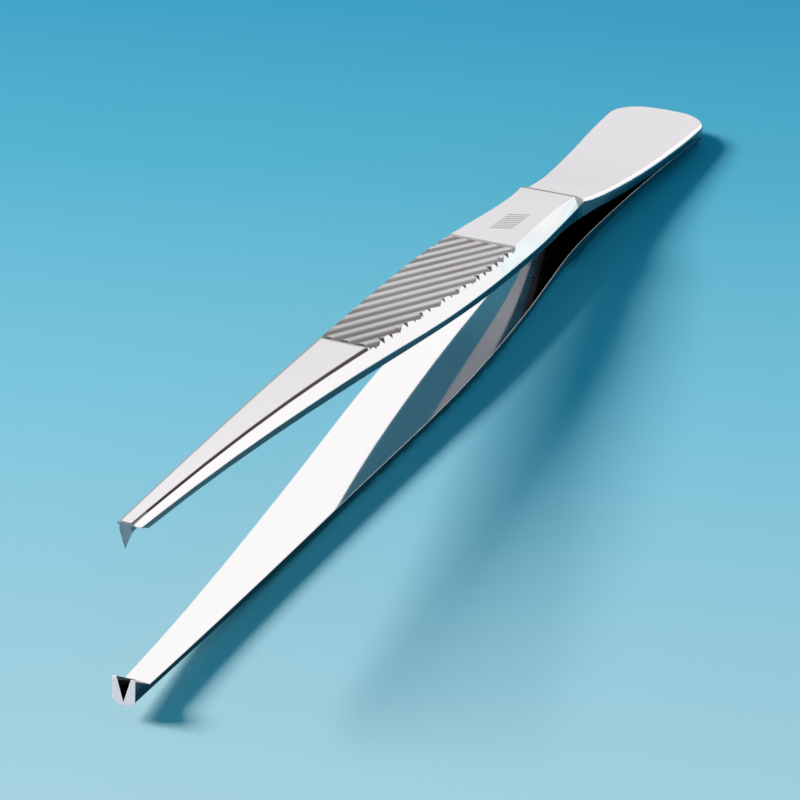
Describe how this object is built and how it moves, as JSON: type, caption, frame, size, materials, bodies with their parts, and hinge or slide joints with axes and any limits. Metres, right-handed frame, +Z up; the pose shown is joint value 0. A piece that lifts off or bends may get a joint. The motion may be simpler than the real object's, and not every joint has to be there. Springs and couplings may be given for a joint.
{
  "type": "thumb forceps",
  "caption": "Sprung thumb forceps for tissue: two tapered limbs welded at a flat rounded heel, diagonal-grooved finger grips, and one tooth closing between two.",
  "frame": {"origin": "bottom centre of the bounding box, on the surface that the forceps lie on", "axes": "+X from the tips to the welded heel, +Y across the limbs' width, +Z up from the lower limb to the upper limb"},
  "size_m": [0.1444, 0.012, 0.0171],
  "materials": {
    "steel": "polished"
  },
  "bodies": {
    "root": {"upper_limb": "steel", "lower_limb": "steel"}
  },
  "joints": []
}
